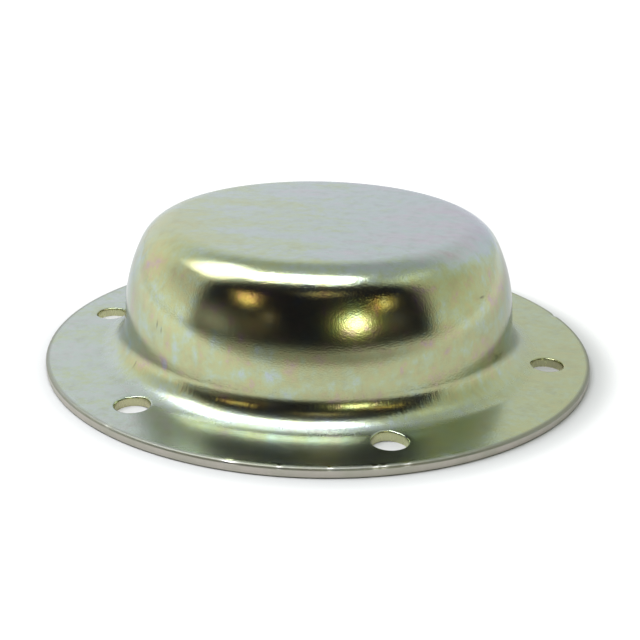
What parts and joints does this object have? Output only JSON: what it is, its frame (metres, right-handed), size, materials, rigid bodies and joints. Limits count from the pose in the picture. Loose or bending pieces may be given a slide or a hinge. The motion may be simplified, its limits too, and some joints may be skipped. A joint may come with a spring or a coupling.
{
  "type": "hub cap",
  "caption": "Pressed steel hub cap: a shallow flat-topped cup with a soft shoulder and a flat bolting flange that covers the end of a wheel hub.",
  "frame": {"origin": "centre of the flange's seat face, on the axis of the cap", "axes": "+Z along the axis, from the seat face towards the closed end; +X through the centre of a bolt hole"},
  "size_m": [0.12, 0.12, 0.0305],
  "materials": {
    "zinc_plate": "zinc plated sheet steel with a thin pale yellow iridescent passivate, satin bright"
  },
  "bodies": {
    "root": {"hub_cap": "zinc_plate"}
  },
  "joints": []
}
